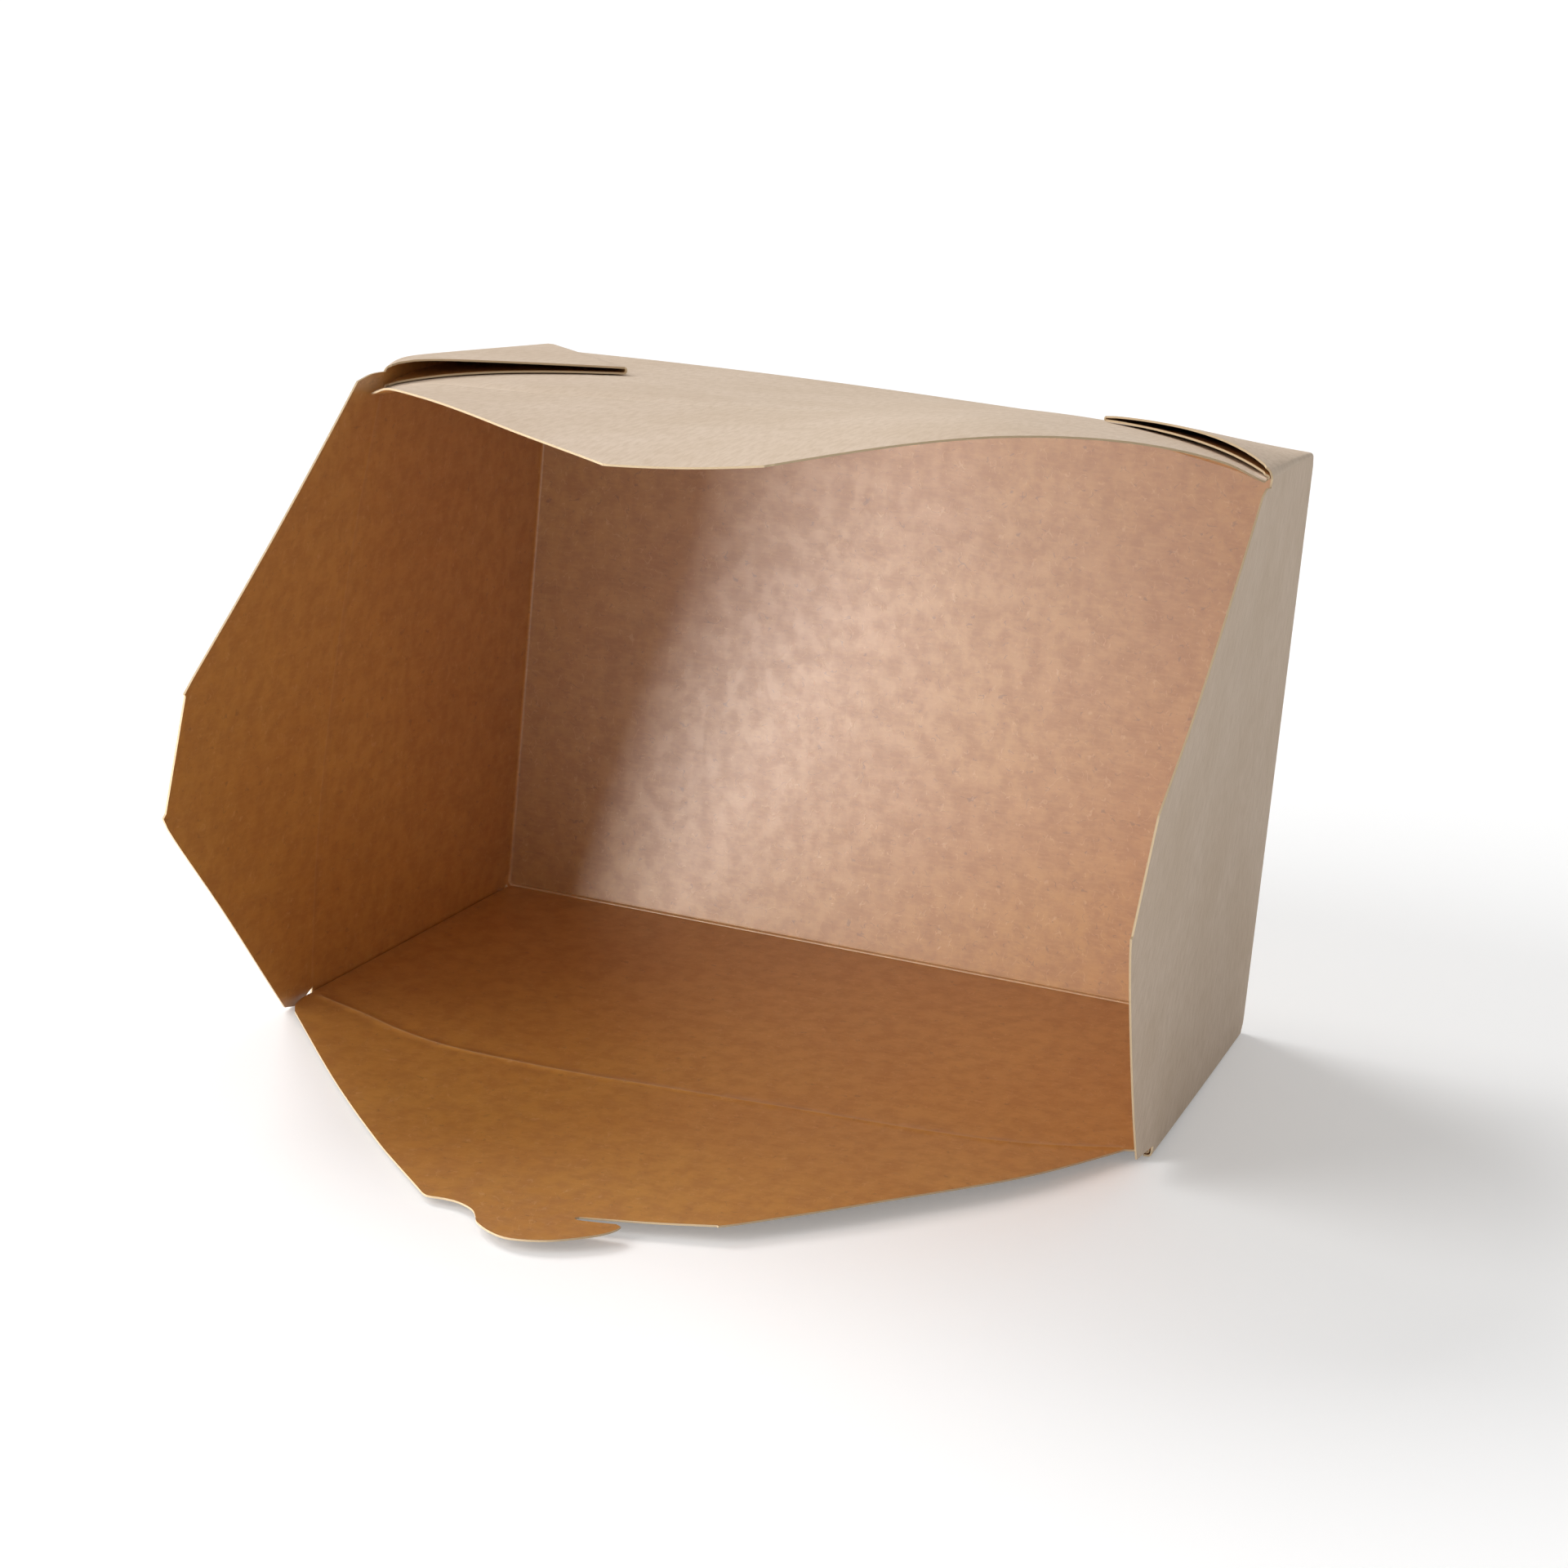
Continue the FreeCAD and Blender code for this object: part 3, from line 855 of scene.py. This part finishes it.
def crease_lines(points, width, mark=1.0):
    """A pressed crease: its middle line, as strong as its mark says, and its two shoulders."""
    line = smooth_line(points)
    along = np.gradient(line, axis=0)
    square = np.stack([-along[:, 1], along[:, 0]], 1)
    square /= np.linalg.norm(square, axis=1)[:, None]
    return [(line, mark), (line + square * width, 0.0), (line - square * width, 0.0)]


print("a crease is", CREASE_DEPTH, "mm deep, between two shoulders")

# %% A flap from its outline
def flap_object(name, place, outline, lines, lift, sheet_turn, flip):
    """A flap of board: place puts a flat point into the upright box, lift curls it outward."""
    points, triangles, marks = filled(outline, lines)
    out = np.array([lift(u, v) for u, v in points]) - HALF_BOARD
    out = out - CREASE_DEPTH * np.array(marks)
    upright = [place(u, v, n) for (u, v), n in zip(points, out)]
    area = [np.cross(points[b] - points[a], points[c] - points[a]) > 0 for a, b, c in triangles]
    triangles = [face if good != flip else face[::-1] for face, good in zip(triangles, area)]
    flat = [sheet_turn(u, v) + (0.0,) for u, v in points]
    return board_object(name, laid(upright), triangles, flat, marks)


# %% [markdown]
# ## The hook flap, on the floor
#
# The flap that continues the wall on the floor carries the hook: a tab with a rounded head, and on
# its right a barb over a narrow slit. In use the barb catches in the opposite flap. The crease is
# not straight: it climbs from both corners and runs flat in the middle, and that makes the closed
# lid hold its curve. The box's weight isn't on this flap, so it only rests along the floor, with
# its right edge a few millimetres up.

# %% The hook flap's lines
WALL_END = corner_half(1.0, "long")
CREASE_FOOT = LONG_WALL
hook_crease = [(-100, 93), (-87, 97.9), (-74, 103.4), (-60, 107.2), (-40, 108.6), (-24, 108.7), (-3, 107.7),
               (24, 106.2), (56, 104.6), (74, 102.2), (88, 97.5), (98, 92.6)]
hook_outline = outline_of(
    [(WALL_END, CREASE_FOOT), (102.4, 91.9), (99.3, 93.4)],
    [(99.3, 93.4), (84.3, 124), (62.1, 152.4), (42, 174.2), (39, 176.3)],
    [(39, 176.3), (27, 180.2), (15, 183.3)],
    [(15, 183.3), (11.6, 184.1), (10.9, 184.9), (11.8, 185.6), (15, 185.3), (20.2, 184.4)],
    [(20.2, 184.4), (21.6, 185.2), (20.8, 188.6), (17.7, 192.6), (11.2, 197.8), (3.9, 199.9), (-1.4, 198.4),
     (-6.2, 195), (-7.6, 192.8), (-10.2, 189.4), (-14.6, 187), (-18.4, 186.4)],
    [(-18.4, 186.4), (-22.4, 186.5), (-25, 184.4)],
    [(-25, 184.4), (-47.4, 162.8), (-71.5, 137.7), (-101, 104.2)],
    [(-101, 104.2), (-103.2, 100), (-103.9, 95), (-WALL_END, CREASE_FOOT)],
    [(-WALL_END, CREASE_FOOT), (0, CREASE_FOOT), (WALL_END, CREASE_FOOT)],
)


print("the hook flap is", round(hook_outline[:, 1].max() - CREASE_FOOT, 1), "mm long")

# %% The hook flap
FLAP_SETTLES_OVER = 70
CREASE_SHOULDER = 0.4


def hook_lift(u, v):
    """The flap leaves the plane of its wall and lies down along the floor, its right edge highest."""
    on_plane = laid([on_long_wall(-1, u, v, 0)])[0]
    share = min(1.0, max(0.0, (v - CREASE_FOOT) / FLAP_SETTLES_OVER))
    share = share ** 2 * (3 - 2 * share)
    above_floor = min(6.0, max(1.0, 2.8 + 0.035 * on_plane[0]))
    return share * (on_plane[2] - above_floor)


hook = flap_object(
    "hook_flap_sheet",
    lambda u, v, n: on_long_wall(-1, u, v, n),
    hook_outline,
    crease_lines(hook_crease, CREASE_SHOULDER),
    hook_lift,
    lambda u, v: (u, -BASE_HALF_SHORT - v),
    flip=False,
)

# %% [markdown]
# ## The plain flap, on top
#
# The opposite flap has no hook. It is held only by its crease, so it has taken a wave: one
# corner curls, the tip droops and the right side arches. Cloth simulation would not know that
# memory of the board, so the wave is a sum of gentle bends along and across the flap.

# %% The plain flap's lines
plain_crease = [(-99, 92.4), (-90, 97), (-79, 102.4), (-66, 106.6), (-50, 108.2), (0, 108.8), (50, 108.2),
                (66, 106.6), (79, 102.4), (90, 97), (99, 92.4)]
plain_outline = outline_of(
    [(WALL_END, CREASE_FOOT), (103.9, 94.2), (103.2, 98), (101.8, 100.8)],
    [(101.8, 100.8), (84.7, 129.7), (55.3, 165.2), (26.7, 189.8), (23, 192.7)],
    [(23, 192.7), (22, 193.4), (20.6, 193.6)],
    [(20.6, 193.6), (6, 194), (-10.2, 193.6)],
    [(-10.2, 193.6), (-11.4, 193.4), (-12.4, 192.5)],
    [(-12.4, 192.5), (-45.3, 165.2), (-78.9, 129.7), (-100.4, 102.3)],
    [(-100.4, 102.3), (-103.4, 98.8), (-104.2, 95), (-WALL_END, CREASE_FOOT)],
    [(-WALL_END, CREASE_FOOT), (0, CREASE_FOOT), (WALL_END, CREASE_FOOT)],
)


print("the plain flap is", round(plain_outline[:, 1].max() - CREASE_FOOT, 1), "mm long")

# %% The plain flap
PLAIN_REACH = 102.5
TIP_OFFSET = 8.2


def plain_lift(u, v):
    """Outward wave of the top flap in mm. It starts as its wall's wave and turns at the crease:
    the left side and the tip droop, the right side arches."""
    beyond = max(0.0, (v - CREASE_FOOT) / PLAIN_REACH)
    across = (u - TIP_OFFSET * beyond) / WAVE_HALF
    turned = min(1.0, beyond * 5.7)
    turned = beyond * turned ** 2 * (3 - 2 * turned)
    right_side = max(0.0, 2 * across - 1)
    lean = 0.6 + 17.5 * across + 6.1 * across ** 2 - 11 * right_side
    curl = -4.1 - 25.3 * across + 0.3 * across ** 2 + 14 * right_side
    tip = -2.8 + 12.8 * across
    wall = crest(WAVE_HALF * across, v) - corner_dip(WAVE_HALF * across, v)
    wall -= 1.8 * min(1.0, beyond * 20) * math.exp(-((u + 104) ** 2 + (v - 98) ** 2) / 64)
    return wall + turned * lean + turned ** 2 * curl + turned ** 3 * tip


plain = flap_object(
    "plain_flap_sheet",
    lambda u, v, n: on_long_wall(1, u, v, n),
    plain_outline,
    crease_lines(plain_crease, CREASE_SHOULDER),
    plain_lift,
    lambda u, v: (u, BASE_HALF_SHORT + v),
    flip=True,
)

# %% [markdown]
# ## The two short flaps
#
# The short flaps are plain tongues that fold in first. Their creases climb by a few millimetres
# only, and are hardly to be seen while a flap stands open. Both lie in line with their walls. One
# function cuts both, but a used flap's sides are never a mirror of each other, so each has its
# own outline.

# %% Cutting a short flap
SHORT_END = corner_half(1.0, "short")
SHORT_FOOT = SHORT_WALL
SHORT_CREASE_MARK = 0.35


def short_outline(upper, lower):
    """A short flap between its upper and lower side, each from the notch to the tip."""
    end = SHORT_END
    notch_up, notch_low = upper[0], lower[0]
    return outline_of(
        [(end, SHORT_FOOT), (notch_up[0] + 0.9, (SHORT_FOOT + notch_up[1]) / 2), notch_up],
        upper,
        [upper[-1], lower[-1]],
        lower[::-1],
        [notch_low, (notch_low[0] - 0.6, (SHORT_FOOT + notch_low[1]) / 2), (-end, SHORT_FOOT)],
        [(-end, SHORT_FOOT), (0, SHORT_FOOT), (end, SHORT_FOOT)],
    )


def short_flap(name, side, upper, lower):
    end, low = SHORT_END, SHORT_FOOT + 0.8
    crease = [(-end + 1.5, low), (-end / 2, low + 5), (0, low + 6.6), (end / 2, low + 5), (end - 1.5, low)]
    return flap_object(
        name,
        lambda u, v, n: on_short_wall(side, u, v, n),
        short_outline(upper, lower),
        crease_lines(crease, CREASE_SHOULDER, SHORT_CREASE_MARK),
        lambda u, v: 0.0,
        lambda u, v: (side * (BASE_HALF_LONG + v), u),
        flip=side == -1,
    )


# %% The left and the right flap
left = short_flap(
    "left_flap_sheet", -1,
    [(74.3, 103.4), (44, 132.5), (15, 160.6), (11.4, 162.6)],
    [(-77.4, 101.4), (-46, 133), (-19.5, 161.6), (-15.6, 163.4)],
)
right = short_flap(
    "right_flap_sheet", 1,
    [(74.8, 103.4), (61.3, 120.2), (46.6, 136.6), (32.3, 152.8), (20.5, 168), (18.2, 170)],
    [(-73.6, 106.4), (-40, 138), (-10.5, 166.8), (-7, 168.6)],
)

# %% [markdown]
# ## The flaps in place
#
# Each flap starts at the chord of its crease, where it meets the wall. Here each flap's mesh
# is baked into its place, and the CAD's own flap part is hidden.

for piece, body in ((hook, "hook_flap"), (plain, "plain_flap"), (left, "left_flap"), (right, "right_flap")):
    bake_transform(piece)
    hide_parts(body)

# %% [markdown]
# ## The floor
#
# The box stands on white paper that keeps its soft shadow. Lit by the same lamps as the box, the
# paper would come out light grey. More light would burn the box out, so the paper glows a little
# instead, and only for rays from the camera and from glossy reflections: it lights nothing.

# %% White paper
FLOOR_HALF = 3.0
PAPER_GLOW = 0.21
floor_mesh = bpy.data.meshes.new("studio_floor")
paper_corners = [(x * FLOOR_HALF, y * FLOOR_HALF, 0) for x, y in ((-1, -1), (1, -1), (1, 1), (-1, 1))]
floor_mesh.from_pydata(paper_corners, [], [(0, 1, 2, 3)])
floor = bpy.data.objects.new("studio_floor", floor_mesh)
bpy.context.scene.collection.objects.link(floor)
white = Finish("white studio paper")
white.shader.inputs["Base Color"].default_value = (0.86, 0.86, 0.86, 1)
white.shader.inputs["Roughness"].default_value = 0.9
white.shader.inputs["Emission Color"].default_value = (1, 1, 1, 1)
rays = white.tree.nodes.new("ShaderNodeLightPath")
seen = calc(white, "MAXIMUM", rays.outputs["Is Camera Ray"], rays.outputs["Is Glossy Ray"])
put(white, white.shader.inputs["Emission Strength"], calc(white, "MULTIPLY", seen, PAPER_GLOW))
floor_mesh.materials.append(white.material)
print("floor of", 2 * FLOOR_HALF, "m")

# %% [markdown]
# ## The light
#
# A white world fills the shadows. It is at full white only where the camera sees it directly. Two
# wide lamps from the left do the rest: the one in front throws the left wall's shadow over the
# base, and the one above lights the wall on top. A sun lamp with a wide angle is used for both,
# because a soft lamp at a real distance would light the near flaps more than the base.

# %% The world
WORLD_FILL = 0.42
world = bpy.data.worlds.new("white studio")
bpy.context.scene.world = world
world.use_nodes = True
sky = world.node_tree
background = sky.nodes["Background"]
background.inputs["Color"].default_value = (1, 1, 1, 1)
path = sky.nodes.new("ShaderNodeLightPath")
strength = sky.nodes.new("ShaderNodeMapRange")
strength.inputs["To Min"].default_value = WORLD_FILL
strength.inputs["To Max"].default_value = 1.0
sky.links.new(path.outputs["Is Camera Ray"], strength.inputs["Value"])
sky.links.new(strength.outputs[0], background.inputs["Strength"])
print("world fill", WORLD_FILL)

# %% Two wide lamps
def wide_lamp(name, towards, width, strength):
    """A lamp far away that lights from one direction, as wide as an angle in degrees."""
    lamp = bpy.data.lights.new(name, "SUN")
    lamp.angle = math.radians(width)
    lamp.energy = strength
    made = bpy.data.objects.new(name, lamp)
    bpy.context.scene.collection.objects.link(made)
    direction = Vector(towards).normalized()
    made.location = direction * 2
    made.rotation_mode = "QUATERNION"
    made.rotation_quaternion = direction.to_track_quat("Z", "Y")
    print(name, "at", [round(value, 2) for value in made.location])


wide_lamp("front lamp", towards=(-0.95, -1, 0.85), width=36, strength=1.3)
wide_lamp("top lamp", towards=(-0.95, 0.3, 1), width=34, strength=1.5)

# %% [markdown]
# ## A reflector on the table
#
# The film's gloss on the base needs something bright to reflect. It comes from low down at the front
# left, where a small bright card leans on the table. As it is small, it also draws the slanted
# edge of the left flap's shadow on the base.

# %% The card on the table
AIMED_AT = Vector((0, 0.098, 0.06))
card = bpy.data.lights.new("table reflector", "AREA")
card.energy = 0.95
card.shape = "RECTANGLE"
card.size, card.size_y = 0.075, 0.022
reflector = bpy.data.objects.new("table reflector", card)
bpy.context.scene.collection.objects.link(reflector)
reflector.location = (-0.232, -0.31, 0.013)
reflector.rotation_mode = "QUATERNION"
reflector.rotation_quaternion = (reflector.location - AIMED_AT).to_track_quat("Z", "Y")
reflector.visible_camera = False
print("the card is", round((reflector.location - AIMED_AT).length, 2), "m from the base")

# %% [markdown]
# ## The camera
#
# The photograph was taken with a long lens from the right and a little above. The view is given as
# a photographer would: the point looked at, the direction and distance from it, and a small roll.
# The box's settling is added to it, because the view was measured against the box.

# %% The camera
LENS = 89.86
AZIMUTH, ELEVATION, ROLL = math.radians(19.56), math.radians(17.81), math.radians(-3.97)
DISTANCE = 918.0
LOOK_AT = (-4.37, 42.99, 61.39)

back = Vector((math.sin(AZIMUTH) * math.cos(ELEVATION), -math.cos(AZIMUTH) * math.cos(ELEVATION),
               math.sin(ELEVATION)))
level = Vector((math.cos(AZIMUTH), math.sin(AZIMUTH), 0))
down = (-back).cross(level)
right_hand = math.cos(ROLL) * level + math.sin(ROLL) * down
up_hand = math.sin(ROLL) * level - math.cos(ROLL) * down
axes = Matrix((right_hand, up_hand, back)).transposed().to_4x4()
place = Matrix.Translation((Vector(LOOK_AT) + back * DISTANCE) * MM) @ axes
settle = Matrix.Translation((0, 0, SETTLE_LIFT * MM)) @ Matrix.Rotation(SETTLE_TILT, 4, "Y")
camera_data = bpy.data.cameras.new("photographer")
camera_data.lens = LENS
camera_data.sensor_width = 36
camera = bpy.data.objects.new("photographer", camera_data)
bpy.context.scene.collection.objects.link(camera)
camera.matrix_world = settle @ place
bpy.context.scene.camera = camera
bpy.context.scene.view_settings.view_transform = "Standard"
print("camera at", [round(value, 3) for value in camera.matrix_world.translation])
